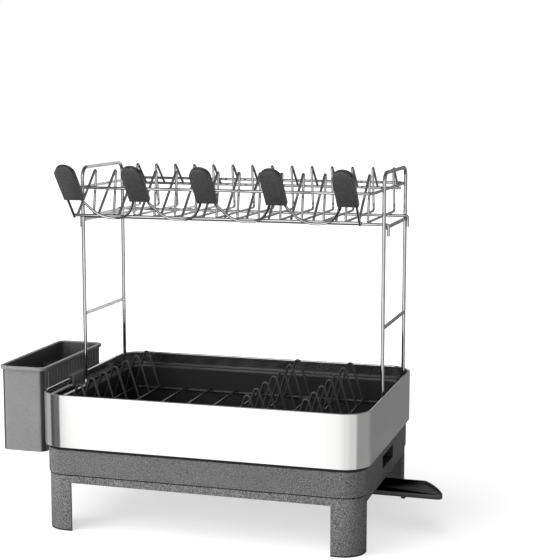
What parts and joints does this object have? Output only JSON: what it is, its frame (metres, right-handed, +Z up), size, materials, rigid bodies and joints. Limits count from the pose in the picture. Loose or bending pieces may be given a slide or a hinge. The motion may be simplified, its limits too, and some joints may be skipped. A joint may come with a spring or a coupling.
{
  "type": "dish drying rack",
  "caption": "Two-tier dish drying rack: steel-banded drip base with swivel spout, lower pan rack, upper plate rack with cup prongs on wire side frames, and a hang-on utensil holder.",
  "frame": {"origin": "on the counter, under the middle of the whole object's box", "axes": "+X to the right along the long side, towards the spout; +Y to the back; +Z up"},
  "size_m": [0.5818, 0.3288, 0.4804],
  "materials": {
    "band_steel": "polished",
    "chromed_wire": "polished",
    "base_plastic": "fine texture",
    "pad_rubber": "matte",
    "basin_plastic": "satin",
    "spout_plastic": "satin",
    "coated_wire": "satin coating",
    "cap_plastic": "satin",
    "holder_plastic": "satin"
  },
  "bodies": {
    "base": {"base_shell": "base_plastic", "foot_pads": "pad_rubber", "steel_band": "band_steel", "basin": "basin_plastic", "drain_collar": "basin_plastic", "spout_retainer": "basin_plastic", "left_side_frame": "chromed_wire", "left_low_bar": "chromed_wire", "left_shelf_bar": "chromed_wire", "right_side_frame": "chromed_wire", "right_low_bar": "chromed_wire", "right_shelf_bar": "chromed_wire"},
    "spout": {"spout": "spout_plastic"},
    "lower_rack": {"lower_loop": "coated_wire", "lower_cross_wires": "coated_wire", "pan_tines_left": "coated_wire", "pan_tines_middle": "coated_wire", "pan_tines_right": "coated_wire"},
    "plate_rack": {"shelf_wire_front": "chromed_wire", "shelf_wire_back": "chromed_wire", "top_loop": "chromed_wire", "rear_rail": "chromed_wire", "cup_rail": "chromed_wire", "cup_wire": "chromed_wire", "plate_tine_1": "chromed_wire", "plate_tine_2": "chromed_wire", "plate_tine_3": "chromed_wire", "plate_tine_4": "chromed_wire", "plate_tine_5": "chromed_wire", "plate_tine_6": "chromed_wire", "plate_tine_7": "chromed_wire", "plate_tine_8": "chromed_wire", "plate_tine_9": "chromed_wire", "plate_tine_10": "chromed_wire", "plate_tine_11": "chromed_wire", "plate_tine_12": "chromed_wire", "plate_tine_13": "chromed_wire", "plate_tine_14": "chromed_wire", "cup_cap_1": "cap_plastic", "cup_cap_2": "cap_plastic", "cup_cap_3": "cap_plastic", "cup_cap_4": "cap_plastic", "cup_cap_5": "cap_plastic"},
    "holder": {"utensil_holder": "holder_plastic"}
  },
  "joints": [
    {"name": "spout_swivel", "type": "hinge", "parent": "base", "child": "spout", "pos_m": [0.1719, -0.00736, 0.055], "axis": [0, 0, 1], "range_deg": [-90, 90]},
    {"name": "lower_rack_lift", "type": "slide", "parent": "base", "child": "lower_rack", "axis": [0, 0, 1], "range_m": [0, 0.06]},
    {"name": "plate_rack_lift", "type": "slide", "parent": "base", "child": "plate_rack", "axis": [0, 0, 1], "range_m": [0, 0.04]},
    {"name": "holder_lift", "type": "slide", "parent": "base", "child": "holder", "axis": [0, 0, 1], "range_m": [0, 0.03]}
  ]
}
